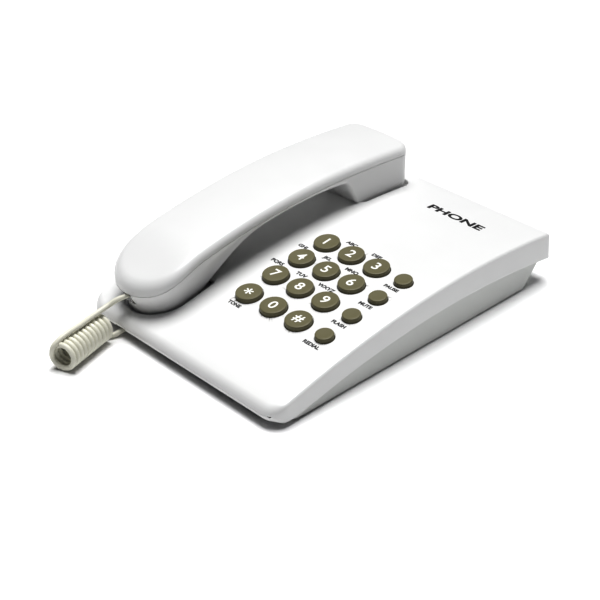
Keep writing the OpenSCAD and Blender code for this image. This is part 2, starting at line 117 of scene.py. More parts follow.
KEY_X0, KEY_Y0 = -1.8, -54.5
KEY_PITCH_X, KEY_PITCH_Y = 19.1, 19.6
KEY_R, KEY_H = 7.4, 2.4
FN_X, FN_Y0, FN_PITCH_Y = 55.8, -54.7, 19.75
FN_R, FN_H = 5.05, 2.5
KEY_HOLE_GAP = 0.4
DIAL_STEM_R, FN_STEM_R = 2.8, 2.0
KEY_TILT = math.asin((TOP_ARC[0] - KEY_Y0 - 1.5 * KEY_PITCH_Y) / TOP_ARC[2])

DIGIT_SIZE, STAR_SIZE, LETTERS_SIZE, LEGEND_SIZE, WORD_SIZE = 8.4, 11.0, 3.3, 3.1, 8.0
DIGIT_DEPTH, PRINT_DEPTH = 0.06, 0.03
WORD_AT = (28.0, 79.5)

CORD_D = 3.0
COIL_R = 6.5
COIL_TURNS = 11
COIL_START = (-42.0, -150.0)
COIL_END = (-52.6, -115.4)
COIL_Z = 8.1
LEAD_ROUTE = [(-47, -101.5, 23.8), (-47, -103.3, 23.8), (-49, -107.5, 22.4),
    (-51, -112, 20), (-51, -119, 18.6), (-50, -126, 18.1), (-48, -134, 18),
    (-47, -141, 17.8), (-46.4, -147, 16.6), (-46.8, -151.4, 13.6)]
BASE_LEAD_ROUTE = [(-48.3, -110, 2.2), (-48, -105, 3.2), (-48, -99, 4.1), (-48, -93, 4.6),
    (-48, -88, 5.6), (-48, -84, 6.8)]


def arc_z(y, arc):
    """Height of an arched surface at a distance y from the origin."""
    crest_y, crest_z, radius = arc
    return crest_z - radius + math.sqrt(radius ** 2 - (y - crest_y) ** 2)


def top_z(y):
    return arc_z(y, TOP_ARC)


def clamp(value, low, high):
    return max(low, min(high, value))


def smooth(value, low, high):
    """0 below low, 1 above high, and a smooth step between them."""
    t = clamp((value - low) / (high - low), 0.0, 1.0)
    return t * t * (3 - 2 * t)


# ---------- mesh helpers ----------

def add_object(name, mesh, material, body):
    obj = bpy.data.objects.new(name, mesh)
    bpy.context.scene.collection.objects.link(obj)
    obj.data.materials.clear()
    obj.data.materials.append(material)
    if body:
        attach(obj, body)
    return obj


def finish_mesh(bm, name, sharp_degrees=32.0):
    """Closes, cleans and smooths a bmesh in millimetres, and makes a mesh in metres of it."""
    bmesh.ops.remove_doubles(bm, verts=bm.verts, dist=0.004)
    bmesh.ops.recalc_face_normals(bm, faces=bm.faces)
    bmesh.ops.scale(bm, vec=(MM, MM, MM), verts=bm.verts)
    mesh = bpy.data.meshes.new(name)
    bm.to_mesh(mesh)
    bm.free()
    mark_smooth(mesh, sharp_degrees)
    return mesh


def mark_smooth(mesh, sharp_degrees=32.0):
    bm = bmesh.new()
    bm.from_mesh(mesh)
    limit = math.radians(sharp_degrees)
    for face in bm.faces:
        face.smooth = True
    for edge in bm.edges:
        edge.smooth = edge.calc_face_angle(0.0) < limit
    bm.to_mesh(mesh)
    bm.free()


def skin(rings, closed_ends=False):
    """A bmesh through rings of points, all of one length, with faces between neighbours."""
    bm = bmesh.new()
    made = [[bm.verts.new(p) for p in ring] for ring in rings]
    count = len(rings[0])
    for lower, upper in zip(made, made[1:]):
        for i in range(count):
            j = (i + 1) % count
            bm.faces.new((lower[i], lower[j], upper[j], upper[i]))
    if closed_ends:
        bm.faces.new(made[0][::-1])
        bm.faces.new(made[-1])
    return bm


def cap(outline, medial, height, steps=10):
    """Rings from the middle line of an outline to its rim, following a height function."""
    rings = []
    for k in range(steps):
        t = k / steps
        ring = []
        for (x, y), (mx, my) in zip(outline, medial):
            px, py = mx + (x - mx) * t, my + (y - my) * t
            ring.append((px, py, height(px, py)))
        rings.append(ring)
    return rings


def inset(outline, normals, distance):
    """The outline moved inwards; distance is a number or a function of the normal."""
    moved = []
    for (x, y), (nx, ny) in zip(outline, normals):
        d = distance(nx, ny) if callable(distance) else distance
        moved.append((x - nx * d, y - ny * d))
    return moved


def rounded_outline(x0, x1, y0, y1, r, step=4.0, corner_steps=8, rear_r=None):
    """Points and outward normals of a rounded rectangle, anticlockwise, with even steps."""
    points, normals = [], []
    q = r if rear_r is None else rear_r
    corners = [((x1 - r, y0 + r), -90, r), ((x1 - q, y1 - q), 0, q),
        ((x0 + q, y1 - q), 90, q), ((x0 + r, y0 + r), 180, r)]
    for index, ((cx, cy), start, radius) in enumerate(corners):
        for k in range(corner_steps + 1):
            a = math.radians(start + 90 * k / corner_steps)
            points.append((cx + radius * math.cos(a), cy + radius * math.sin(a)))
            normals.append((math.cos(a), math.sin(a)))
        (next_x, next_y), next_start, next_radius = corners[(index + 1) % 4]
        a = math.radians(next_start)
        end = (next_x + next_radius * math.cos(a), next_y + next_radius * math.sin(a))
        last = points[-1]
        span = math.dist(last, end)
        parts = max(1, round(span / step))
        for k in range(1, parts):
            t = k / parts
            points.append((last[0] + (end[0] - last[0]) * t, last[1] + (end[1] - last[1]) * t))
            normals.append((math.cos(a), math.sin(a)))
    return points, normals


def middle_line(outline, x, y0, y1):
    return [(x, clamp(y, y0, y1)) for _, y in outline]


def layer(outline, normals, distance, height):
    """One ring: the inset outline, with its heights."""
    ring = []
    for (x, y), n in zip(inset(outline, normals, distance), normals):
        ring.append((x, y, height(x, y, n)))
    return ring


def boolean(target, cutters, operation):
    """Joins or cuts bmeshes (in millimetres) with an object, and applies it."""
    whole = bmesh.new()
    mesh = bpy.data.meshes.new("cutter")
    for cutter_bm in cutters:
        bmesh.ops.remove_doubles(cutter_bm, verts=cutter_bm.verts, dist=0.004)
        bmesh.ops.recalc_face_normals(cutter_bm, faces=cutter_bm.faces)
        if cutter_bm.calc_volume(signed=True) < 0.0:
            bmesh.ops.reverse_faces(cutter_bm, faces=cutter_bm.faces)
        bmesh.ops.scale(cutter_bm, vec=(MM, MM, MM), verts=cutter_bm.verts)
        cutter_bm.to_mesh(mesh)
        cutter_bm.free()
        whole.from_mesh(mesh)
    whole.to_mesh(mesh)
    whole.free()
    cutter = bpy.data.objects.new("cutter", mesh)
    bpy.context.scene.collection.objects.link(cutter)
    modifier = target.modifiers.new("cut", "BOOLEAN")
    modifier.operation = operation
    modifier.solver = "EXACT"
    modifier.use_self = operation == "UNION"
    modifier.use_hole_tolerant = True
    modifier.object = cutter
    bpy.context.view_layer.update()
    graph = bpy.context.evaluated_depsgraph_get()
    result = bpy.data.meshes.new_from_object(target.evaluated_get(graph))
    target.modifiers.clear()
    target.data = result
    bpy.data.objects.remove(cutter)


def lathe(profile, matrix=None, sides=48):
    """A bmesh of a profile (radius, height) turned about Z; both ends lie on the axis."""
    rings = []
    for radius, z in profile:
        rings.append([(radius * math.cos(2 * math.pi * k / sides),
            radius * math.sin(2 * math.pi * k / sides), z) for k in range(sides)])
    bm = skin(rings)
    bmesh.ops.remove_doubles(bm, verts=bm.verts, dist=0.002)
    if matrix is not None:
        bmesh.ops.transform(bm, matrix=matrix, verts=bm.verts)
    return bm


def drill(radius, x, y, z0, z1, sides):
    """An upright round cutter at (x, y)."""
    return lathe([(0, z0), (radius, z0), (radius, z1), (0, z1)],
        Matrix.Translation((x, y, 0)), sides)


def block(x, y, z):
    """A plain box as a cutter, in millimetres."""
    bm = bmesh.new()
    bmesh.ops.create_cube(bm, size=1.0)
    size = Vector((x[1] - x[0], y[1] - y[0], z[1] - z[0]))
    middle = Vector((x[0] + x[1], y[0] + y[1], z[0] + z[1])) / 2
    bmesh.ops.scale(bm, vec=size, verts=bm.verts)
    bmesh.ops.translate(bm, vec=middle, verts=bm.verts)
    return bm


def key_matrix(x, y):
    """A frame on the housing's top at (x, y), its Z along the keys' travel."""
    return Matrix.Translation((x, y, top_z(y))) @ Matrix.Rotation(KEY_TILT, 4, "X")


# ---------- materials ----------

def new_material(name, color, roughness, spec=0.5):
    material = bpy.data.materials.new(name)
    material.use_nodes = True
    shader = material.node_tree.nodes["Principled BSDF"]
    shader.inputs["Base Color"].default_value = (*color, 1.0)
    shader.inputs["Roughness"].default_value = roughness
    shader.inputs["Specular IOR Level"].default_value = spec
    return material, material.node_tree, shader


def moulded(name, color, roughness, grain=900.0, bump=0.02, mottle=0.02, rough_var=0.08,
        coat=0.0, clear=0.0):
    """Moulded plastic: fine skin texture, faint flow mottling and uneven gloss."""
    material, tree, shader = new_material(name, color, roughness)
    nodes, links = tree.nodes, tree.links
    shader.inputs["Transmission Weight"].default_value = clear
    shader.inputs["Coat Weight"].default_value = coat
    shader.inputs["Coat Roughness"].default_value = 0.12
    where = nodes.new("ShaderNodeTexCoord")

    broad = nodes.new("ShaderNodeTexNoise")
    broad.inputs["Scale"].default_value = 28.0
    broad.inputs["Detail"].default_value = 3.0
    links.new(where.outputs["Object"], broad.inputs["Vector"])
    tint = nodes.new("ShaderNodeMapRange")
    tint.inputs["To Min"].default_value = 1.0 - mottle
    tint.inputs["To Max"].default_value = 1.0 + mottle * 0.3
    links.new(broad.outputs["Fac"], tint.inputs["Value"])
    scale = nodes.new("ShaderNodeVectorMath")
    scale.operation = "SCALE"
    scale.inputs[0].default_value = color
    links.new(tint.outputs["Result"], scale.inputs["Scale"])
    links.new(scale.outputs["Vector"], shader.inputs["Base Color"])

    gloss = nodes.new("ShaderNodeMapRange")
    gloss.inputs["To Min"].default_value = roughness - rough_var
    gloss.inputs["To Max"].default_value = roughness + rough_var
    handled = nodes.new("ShaderNodeTexNoise")
    handled.inputs["Scale"].default_value = 60.0
    handled.inputs["Detail"].default_value = 4.0
    links.new(where.outputs["Object"], handled.inputs["Vector"])
    links.new(handled.outputs["Fac"], gloss.inputs["Value"])
    links.new(gloss.outputs["Result"], shader.inputs["Roughness"])

    fine = nodes.new("ShaderNodeTexNoise")
    fine.inputs["Scale"].default_value = grain
    fine.inputs["Detail"].default_value = 2.0
    links.new(where.outputs["Object"], fine.inputs["Vector"])
    relief = nodes.new("ShaderNodeBump")
    relief.inputs["Strength"].default_value = bump
    relief.inputs["Distance"].default_value = 0.0002
    links.new(fine.outputs["Fac"], relief.inputs["Height"])
    links.new(relief.outputs["Normal"], shader.inputs["Normal"])
    return material


def brushed(name, color, roughness):
    """Plated or rolled metal with fine drawn lines."""
    material, tree, shader = new_material(name, color, roughness)
    nodes, links = tree.nodes, tree.links
    shader.inputs["Metallic"].default_value = 1.0
    where = nodes.new("ShaderNodeTexCoord")
    stretch = nodes.new("ShaderNodeMapping")
    stretch.inputs["Scale"].default_value = (400.0, 4000.0, 400.0)
    links.new(where.outputs["Object"], stretch.inputs["Vector"])
    lines = nodes.new("ShaderNodeTexNoise")
    lines.inputs["Scale"].default_value = 1.0
    lines.inputs["Detail"].default_value = 3.0
    links.new(stretch.outputs["Vector"], lines.inputs["Vector"])
    spread = nodes.new("ShaderNodeMapRange")
    spread.inputs["To Min"].default_value = roughness - 0.1
    spread.inputs["To Max"].default_value = roughness + 0.15
    links.new(lines.outputs["Fac"], spread.inputs["Value"])
    links.new(spread.outputs["Result"], shader.inputs["Roughness"])
    relief = nodes.new("ShaderNodeBump")
    relief.inputs["Strength"].default_value = 0.08
    relief.inputs["Distance"].default_value = 0.0001
    links.new(lines.outputs["Fac"], relief.inputs["Height"])
    links.new(relief.outputs["Normal"], shader.inputs["Normal"])
    return material


def board_material():
    """Solder-masked circuit board with lighter tracks."""
    material, tree, shader = new_material("circuit_board", (0.03, 0.2, 0.08), 0.4)
    nodes, links = tree.nodes, tree.links
    where = nodes.new("ShaderNodeTexCoord")
    cells = nodes.new("ShaderNodeTexBrick")
    cells.inputs["Scale"].default_value = 120.0
    cells.inputs["Color1"].default_value = (0.03, 0.2, 0.08, 1.0)
    cells.inputs["Color2"].default_value = (0.025, 0.17, 0.07, 1.0)
    cells.inputs["Mortar"].default_value = (0.06, 0.32, 0.12, 1.0)
    cells.inputs["Mortar Size"].default_value = 0.03
    links.new(where.outputs["Object"], cells.inputs["Vector"])
    links.new(cells.outputs["Color"], shader.inputs["Base Color"])
    return material


MATERIALS = {
    "white_shell": moulded("white_shell", (0.78, 0.78, 0.775), 0.34, coat=0.15),
    "grey_shell": moulded("grey_shell", (0.66, 0.67, 0.65), 0.42, grain=1500.0, bump=0.06),
    "key_plastic": moulded("key_plastic", (0.155, 0.142, 0.072), 0.44, grain=2200.0,
        bump=0.05, mottle=0.08),
    "foot_rubber": moulded("foot_rubber", (0.03, 0.03, 0.03), 0.75, grain=1800.0, bump=0.12),
    "contact_rubber": moulded("contact_rubber", (0.5, 0.5, 0.47), 0.65),
    "black_plastic": moulded("black_plastic", (0.02, 0.02, 0.022), 0.4, grain=1800.0, bump=0.05),
    "capacitor_blue": moulded("capacitor_blue", (0.03, 0.08, 0.3), 0.3),
    "clear_plug": moulded("clear_plug", (0.78, 0.77, 0.68), 0.18, coat=0.4, clear=0.92),
    "cord_cream": moulded("cord_cream", (0.77, 0.76, 0.66), 0.4, grain=1400.0, bump=0.06,
        mottle=0.06),
    "screw_steel": brushed("screw_steel", (0.62, 0.62, 0.6), 0.35),
    "switch_steel": brushed("switch_steel", (0.66, 0.66, 0.63), 0.3),
    "weight_steel": brushed("weight_steel", (0.4, 0.4, 0.4), 0.5),
    "circuit_board": board_material(),
}
PRINT_WHITE = moulded("print_white", (0.85, 0.85, 0.82), 0.5, rough_var=0.04)
PRINT_BLACK = moulded("print_black", (0.012, 0.012, 0.012), 0.45, rough_var=0.04)


# ---------- camera ----------

CAMERA_AT = (0.47598, -0.47755, 0.41440)
CAMERA_AZIMUTH, CAMERA_ELEVATION, CAMERA_ROLL = 46.034, 31.690, 0.073
CAMERA_LENS = 83.51


def make_camera():
    data = bpy.data.cameras.new("camera")
    data.lens = CAMERA_LENS
    data.sensor_width = 36.0
    data.clip_start = 0.01
    camera = bpy.data.objects.new("camera", data)
    bpy.context.scene.collection.objects.link(camera)
    azimuth, elevation = math.radians(CAMERA_AZIMUTH), math.radians(CAMERA_ELEVATION)
    back = Vector((math.sin(azimuth) * math.cos(elevation),
        -math.cos(azimuth) * math.cos(elevation), math.sin(elevation)))
    turn = (-back).to_track_quat("-Z", "Y").to_matrix().to_4x4()
    roll = Matrix.Rotation(math.radians(CAMERA_ROLL), 4, "Z")
    camera.matrix_world = Matrix.Translation(CAMERA_AT) @ turn @ roll
    bpy.context.scene.camera = camera


# ---------- cord ----------

def smooth_route(points, parts):
    """A Catmull-Rom curve through points, with that many steps between neighbours."""
    p = [Vector(q) for q in points]
    p = [p[0] * 2 - p[1]] + p + [p[-1] * 2 - p[-2]]
    curve = []
    for i in range(1, len(p) - 2):
        for k in range(parts):
            t = k / parts
            a, b, c, d = p[i - 1], p[i], p[i + 1], p[i + 2]
            curve.append(0.5 * (2 * b + (c - a) * t + (2 * a - 5 * b + 4 * c - d) * t ** 2
                + (3 * b - a - 3 * c + d) * t ** 3))
    curve.append(p[-2])
    return curve


def coil_points(steps=24):
    """The helix: from the left of its open end, down and round, to the bottom of the far end."""
    start, end = Vector((*COIL_START, COIL_Z)), Vector((*COIL_END, COIL_Z))
    along = (end - start).normalized()
    across = Vector((along.y, -along.x, 0.0))
    turns = COIL_TURNS + 0.25
    count = round(turns * steps)
    points = []
    for i in range(count + 1):
        angle = math.pi + 2 * math.pi * turns * i / count
        centre = start.lerp(end, i / count)
        points.append(centre + COIL_R * (math.cos(angle) * across
            + math.sin(angle) * Vector((0, 0, 1))))
    return points


def tube(path, radius, sides=12):
    """A closed tube along a path, its rings carried from one to the next without twist."""
    rings = []
    up = Vector((1, 0, 0))
    for i, point in enumerate(path):
        ahead = (path[min(i + 1, len(path) - 1)] - path[max(i - 1, 0)]).normalized()
        up = (up - ahead * up.dot(ahead)).normalized()
        side = ahead.cross(up)
        rings.append([tuple(point + radius * (math.cos(2 * math.pi * k / sides) * up
            + math.sin(2 * math.pi * k / sides) * side)) for k in range(sides)])
    return skin(rings, closed_ends=True)


def make_cord():
    coil = coil_points()
    lead = smooth_route(LEAD_ROUTE + [tuple(coil[0])], 6)
    path = lead[:-1] + coil + arc_out(coil) + smooth_route(BASE_LEAD_ROUTE, 6)
    mesh = finish_mesh(tube(path, CORD_D / 2), "handset_cord", 60.0)
    cord = add_object("handset_cord", mesh, MATERIALS["cord_cream"], None)
    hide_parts("cord_lead_handset", "cord_coil", "cord_lead_base")
    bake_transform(cord)


def arc_out(coil, steps=8):
    """The bend that takes the cord from its last turn to its straight end under the nose."""
    last = coil[-1]
    heading = (coil[-1] - coil[-2])
    heading.z = 0.0
    start_angle = math.atan2(heading.y, heading.x)
    centre = last + COIL_R * Vector((-math.sin(start_angle), math.cos(start_angle), 0.0))
    points = []
    for k in range(1, steps):
        angle = start_angle + (math.pi / 2 - start_angle) * k / steps
        points.append(centre + COIL_R * Vector((math.sin(angle), -math.cos(angle), 0.0))
            + Vector((0, 0, 0.6 * k / steps)))
    return points


# ---------- base ----------

def seam_low(y):
    """Lower edge of the top cover."""
    return max(NOSE_LOW_Z, arc_z(y, SEAM_ARC))


def front_share(n):
    """1 where the outline faces the front, 0 at the sides and the rear."""
    return smooth(-n[1], 0.15, 0.9)


def rear_share(n):
    """1 where the outline faces the rear, 0 at the sides and the front."""
    return smooth(n[1], 0.1, 1.0)


def rim_radius(n):
    """Radius of the housing's upper rim: softest along the front."""
    return 2.0 + 2.6 * front_share(n) - 0.7 * rear_share(n)


def low_radius(n):
    """Radius of the cover's lower edge: the front is turned under, the sides are crisp."""
    return 0.8 + 3.7 * front_share(n)


def rear_lean(n, z):
    """How far the rear face leans inwards at a height."""
    return rear_share(n) * REAR_SLOPE * (z - REAR_Z)


def base_outline():
    return rounded_outline(-HALF_W, HALF_W, NOSE_Y, REAR_Y, CORNER_R, step=4.0, corner_steps=10,
        rear_r=REAR_CORNER_R)


def housing_inset(points, normals, distance):
    """The housing's outline moved inwards; its small rear corners turn sharp, not inside out."""
    side, rear = distance(1.0, 0.0), distance(0.0, 1.0)
    moved = []
    for (x, y), (nx, ny) in zip(points, normals):
        d = distance(nx, ny)
        if ny > 0.01 and abs(nx) > 0.01:
            d = min(d, REAR_CORNER_R)
        moved.append((clamp(x - nx * d, side - HALF_W, HALF_W - side),
            min(y - ny * d, REAR_Y - rear)))
    return moved


def cover_rings():
    """Rings of the top cover, from the middle of its top, over the rim and to its inside."""
    points, normals = base_outline()

    def level(distance, height):
        moved = housing_inset(points, normals, distance)
        return [(x, y, height(x, y, n)) for (x, y), n in zip(moved, normals)]

    rim = lambda nx, ny: rim_radius((nx, ny)) + rear_lean((nx, ny), REAR_TOP_Z)
    first = housing_inset(points, normals, rim)
    medial = middle_line(first, 0.0, -40.0, 40.0)
    rings = cap(first, medial, lambda x, y: top_z(y), 13)
    rounding = 7
    for k in range(rounding + 1):
        a = math.pi / 2 * k / rounding
        rings.append(level(lambda nx, ny: (rim_radius((nx, ny)) * (1 - math.sin(a))
            + rear_lean((nx, ny), REAR_TOP_Z)),
            lambda x, y, n: top_z(y) - rim_radius(n) * (1 - math.cos(a))))
    for k in range(rounding + 1):
        a = math.pi / 2 * k / rounding
        rings.append(level(lambda nx, ny: low_radius((nx, ny)) * (1 - math.cos(a)),
            lambda x, y, n: seam_low(y) + low_radius(n) * (1 - math.sin(a))))
    rings.append(level(lambda nx, ny: WALL + 0.4, lambda x, y, n: seam_low(y)))
    rings.append(level(lambda nx, ny: WALL + 0.5, lambda x, y, n: seam_low(y) + 1.5))
    inner = lambda nx, ny: WALL + 0.6 + rear_lean((nx, ny), REAR_TOP_Z) + 2.2 * front_share((nx, ny))
    rings.append(level(inner, lambda x, y, n: top_z(y) - WALL))
    last = housing_inset(points, normals, inner)
    inside = cap(last, middle_line(last, 0.0, -40.0, 40.0), lambda x, y: top_z(y) - WALL, 10)
    return rings + inside[::-1]


def mouth_outline(grow):
    """Round front, straight sides: the recess of the mouthpiece end."""
    points, normals = [], []
    radius = MOUTH_R + grow
    for k in range(33):
        a = math.radians(-180 + 180 * k / 32)
        points.append((HS_X + radius * math.cos(a), MOUTH_Y + radius * math.sin(a)))
        normals.append((math.cos(a), math.sin(a)))
    rear_y, corner = MOUTH_Y + 21.0, 3.0
    for k in range(9):
        a = math.radians(90 * k / 8)
        points.append((HS_X + radius - corner + corner * math.cos(a),
            rear_y - corner + corner * math.sin(a)))
        normals.append((math.cos(a), math.sin(a)))
    for k in range(9):
        a = math.radians(90 + 90 * k / 8)
        points.append((HS_X - radius + corner + corner * math.cos(a),
            rear_y - corner + corner * math.sin(a)))
        normals.append((math.cos(a), math.sin(a)))
    return points, normals, (HS_X, MOUTH_Y, MOUTH_Y + 8.0)


def ear_outline(grow):
    """A rounded rectangle: the recess of the earpiece end."""
    points, normals = rounded_outline(HS_X - EAR_HALF_W - grow, HS_X + EAR_HALF_W + grow,
        EAR_Y0 - grow, EAR_Y1 + grow, EAR_R + grow, step=3.0)
    return points, normals, (HS_X, EAR_Y0 + 18.0, EAR_Y1 - 18.0)


def tub_solid(outline):
    """The walls and floor that hang below the top cover round a recess."""
    points, normals, (x, y0, y1) = outline
    lower = lambda px, py: top_z(py) - RECESS_DEPTH - 2.0
    upper = lambda px, py: top_z(py) - 1.2
    medial = middle_line(points, x, y0, y1)
    rings = cap(points, medial, lower, 6) + [[(px, py, lower(px, py)) for px, py in points]]
    rings += [[(px, py, upper(px, py)) for px, py in points]]
    rings += cap(points, medial, upper, 6)[::-1]
    return skin(rings)


def recess_cutter(outline):
    """A recess with a filleted floor and a softly flared rim."""
    points, normals, (x, y0, y1) = outline
    fillet, flare = 1.6, 0.9
    floor = lambda px, py: top_z(py) - RECESS_DEPTH
    first = inset(points, normals, fillet)
    rings = cap(first, middle_line(first, x, y0, y1), floor, 6)
    for k in range(6):
        a = math.pi / 2 * k / 5
        rings.append(layer(points, normals, fillet * (1 - math.sin(a)),
            lambda px, py, n: top_z(py) - RECESS_DEPTH + fillet * (1 - math.cos(a))))
    for k in range(6):
        a = math.pi / 2 * k / 5
        rings.append(layer(points, normals, -flare * (1 - math.cos(a)),
            lambda px, py, n: top_z(py) - flare + flare * math.sin(a) * 1.02))
    rings.append(layer(points, normals, -flare, lambda px, py, n: top_z(py) + 6.0))
    last = inset(points, normals, -flare)
    lid = cap(last, middle_line(last, x, y0, y1), lambda px, py: top_z(py) + 6.0, 4)
    return skin(rings + lid[::-1])


def hole_cutter(x, y, radius):
    """A round key hole with a small rounded rim."""
    flare = 0.35
    profile = [(0.0, -6.0), (radius, -6.0), (radius, -flare)]
    for k in range(1, 5):
        a = math.pi / 2 * k / 4
        profile.append((radius + flare * (1 - math.cos(a)), -flare + flare * math.sin(a)))
    profile += [(radius + flare, 4.0), (0.0, 4.0)]
    return lathe(profile, key_matrix(x, y), 56)


def slab(y0, y1, low, high, half_width, steps=8):
    """A plate between two height functions, running across the base."""
    rings = []
    for k in range(steps + 1):
        y = y0 + (y1 - y0) * k / steps
        rings.append([(-half_width, y, low(y)), (half_width, y, low(y)),
            (half_width, y, high(y)), (-half_width, y, high(y))])
    return skin(rings, closed_ends=True)


def make_top_cover():
    mesh = finish_mesh(skin(cover_rings()), "base_cover")
    cover = add_object("base_cover", mesh, MATERIALS["white_shell"], None)
    mouth, ear = mouth_outline(RECESS_GAP + 0.2), ear_outline(RECESS_GAP - 0.2)
    boolean(cover, [tub_solid(mouth_outline(RECESS_GAP + 2.2))], "UNION")
    boolean(cover, [tub_solid(ear_outline(RECESS_GAP + 0.9))], "UNION")
    # the floor of the nose, narrower between its round front corners, and the rear ledge
    for y0, y1, reach in ((NOSE_Y + 2.6, -102.0, 62.0), (-102.6, -88.0, 70.0)):
        boolean(cover, [slab(y0, y1, lambda y: NOSE_LOW_Z, lambda y: NOSE_LOW_Z + WALL,
            reach)], "UNION")
    boolean(cover, [slab(REAR_LEDGE_Y, REAR_Y - 1.2, seam_low, lambda y: seam_low(y) + WALL,
        HALF_W - 2.6)], "UNION")
    cutters = [hole_cutter(KEY_X0 + i * KEY_PITCH_X, KEY_Y0 + j * KEY_PITCH_Y,
        KEY_R + KEY_HOLE_GAP) for i in range(3) for j in range(4)]
    cutters += [hole_cutter(FN_X, FN_Y0 + j * FN_PITCH_Y, FN_R + KEY_HOLE_GAP)
        for j in range(4)]
    boolean(cover, cutters, "DIFFERENCE")
    boolean(cover, [recess_cutter(mouth)], "DIFFERENCE")
    boolean(cover, [recess_cutter(ear)], "DIFFERENCE")
    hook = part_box("hook_plunger")
    hook_x, hook_y = (hook[0].x + hook[1].x) / 2 / MM, (hook[0].y + hook[1].y) / 2 / MM
    boolean(cover, [drill(4.8, hook_x, hook_y, 18, 40, 48)], "DIFFERENCE")
    boolean(cover, [block(CORD_SLOT_X, (NOSE_Y - 2, CORD_SLOT_END_Y), (0.0, 6.0))],
        "DIFFERENCE")
    mark_smooth(cover.data)
    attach(cover, "base")
    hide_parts("base_top_cover")


# ---------- keys ----------

DIAL_KEYS = [["star", "7", "4", "1"], ["0", "8", "5", "2"], ["hash", "9", "6", "3"]]
FACES = {"star": "*", "hash": "#"}
LETTERS = {"2": "ABC", "3": "DEF", "4": "GHI", "5": "JKL", "6": "MNO", "7": "PQRS",
    "8": "TUV", "9": "WXYZ"}
FUNCTIONS = ["redial", "flash", "mute", "pause"]


def make_key(name, x, y, radius, height, stem):
    """A round cap with a soft edge and a slightly dished top, on its flange and stem."""
    edge, stem_z, flange = 0.55, -7.2, radius + 1.3
    flange_low, flange_top = -4.0, -3.2
    profile = [(0.0, stem_z), (stem, stem_z), (stem, flange_low), (flange, flange_low),
        (flange, flange_top), (radius + 0.05, flange_top), (radius, height - edge)]
    for k in range(1, 6):
        a = math.pi / 2 * k / 5
        profile.append((radius - edge * (1 - math.cos(a)), height - edge * (1 - math.sin(a))))
    profile += [(radius - 1.6, height - 0.02), (radius * 0.5, height - 0.05),
        (0.0, height - 0.06)]
    mesh = finish_mesh(lathe(profile, key_matrix(x, y), 64), name + "_cap")
    cap_object = add_object(name + "_cap", mesh, MATERIALS["key_plastic"],
        name + "_body")
    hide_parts(name)


def lettering(name, words, x, y, height, size, thickness, material, body, widen=1.0,
        bold=0.0):
    """Raised print on the housing or a key, facing up and read from the front."""
    curve = bpy.data.curves.new(name, "FONT")
    curve.body = words
    curve.size = size * MM
    curve.align_x, curve.align_y = "CENTER", "CENTER"
    curve.extrude = thickness * MM
    curve.offset = bold * MM
    curve.resolution_u = 6
    text = bpy.data.objects.new(name, curve)
    bpy.context.scene.collection.objects.link(text)
    bpy.context.view_layer.update()
    mesh = bpy.data.meshes.new_from_object(text.evaluated_get(
        bpy.context.evaluated_depsgraph_get()))
    bpy.data.objects.remove(text)
    xs, ys = [v.co.x for v in mesh.vertices], [v.co.y for v in mesh.vertices]
    mesh.transform(Matrix.Translation((-(min(xs) + max(xs)) / 2, -(min(ys) + max(ys)) / 2, 0)))
    mesh.transform(Matrix.Diagonal((widen, 1.0, 1.0, 1.0)))
    slope = math.asin((TOP_ARC[0] - y) / TOP_ARC[2]) if body == "base" else KEY_TILT
    place = (Matrix.Translation(Vector((x, y, top_z(y))) * MM)
        @ Matrix.Rotation(slope, 4, "X") @ Matrix.Translation((0, 0, height * MM)))
    mesh.transform(place)
    bm = bmesh.new()
    bm.from_mesh(mesh)
    bmesh.ops.remove_doubles(bm, verts=bm.verts, dist=1e-6)
    bm.to_mesh(mesh)
    bm.free()
    return add_object(name, mesh, material, body)


def make_keypad():
    """The sixteen keys, their faces, and the legends printed beside them."""
    for i, column in enumerate(DIAL_KEYS):
        for j, label in enumerate(column):
            x, y = KEY_X0 + i * KEY_PITCH_X, KEY_Y0 + j * KEY_PITCH_Y
            name = "key_" + label
            make_key(name, x, y, KEY_R, KEY_H, DIAL_STEM_R)
            size = STAR_SIZE if label == "star" else DIGIT_SIZE
            lettering(name + "_digit", FACES.get(label, label), x, y, KEY_H - 0.02, size,
                DIGIT_DEPTH, PRINT_WHITE, name + "_body", widen=1.15, bold=0.14)
            if label in LETTERS:
                lettering("legend_" + label, LETTERS[label], x - 9.1, y + 9.7, 0.0,
                    LETTERS_SIZE, PRINT_DEPTH, PRINT_BLACK, "base", widen=1.15, bold=0.16)
    lettering("legend_tone", "TONE", KEY_X0 - 1.0, KEY_Y0 - 9.9, 0.0, LEGEND_SIZE,
        PRINT_DEPTH, PRINT_BLACK, "base", widen=1.1, bold=0.16)
    for j, label in enumerate(FUNCTIONS):
        y = FN_Y0 + j * FN_PITCH_Y
        make_key("key_" + label, FN_X, y, FN_R, FN_H, FN_STEM_R)
        lettering("legend_" + label, label.upper(), FN_X - 1.5, y - 8.0, 0.0, LEGEND_SIZE,
            PRINT_DEPTH, PRINT_BLACK, "base", widen=1.1, bold=0.16)
    lettering("legend_word", "PHONE", *WORD_AT, 0.0, WORD_SIZE, PRINT_DEPTH, PRINT_BLACK,
        "base", widen=1.5, bold=0.3)


# ---------- handset ----------

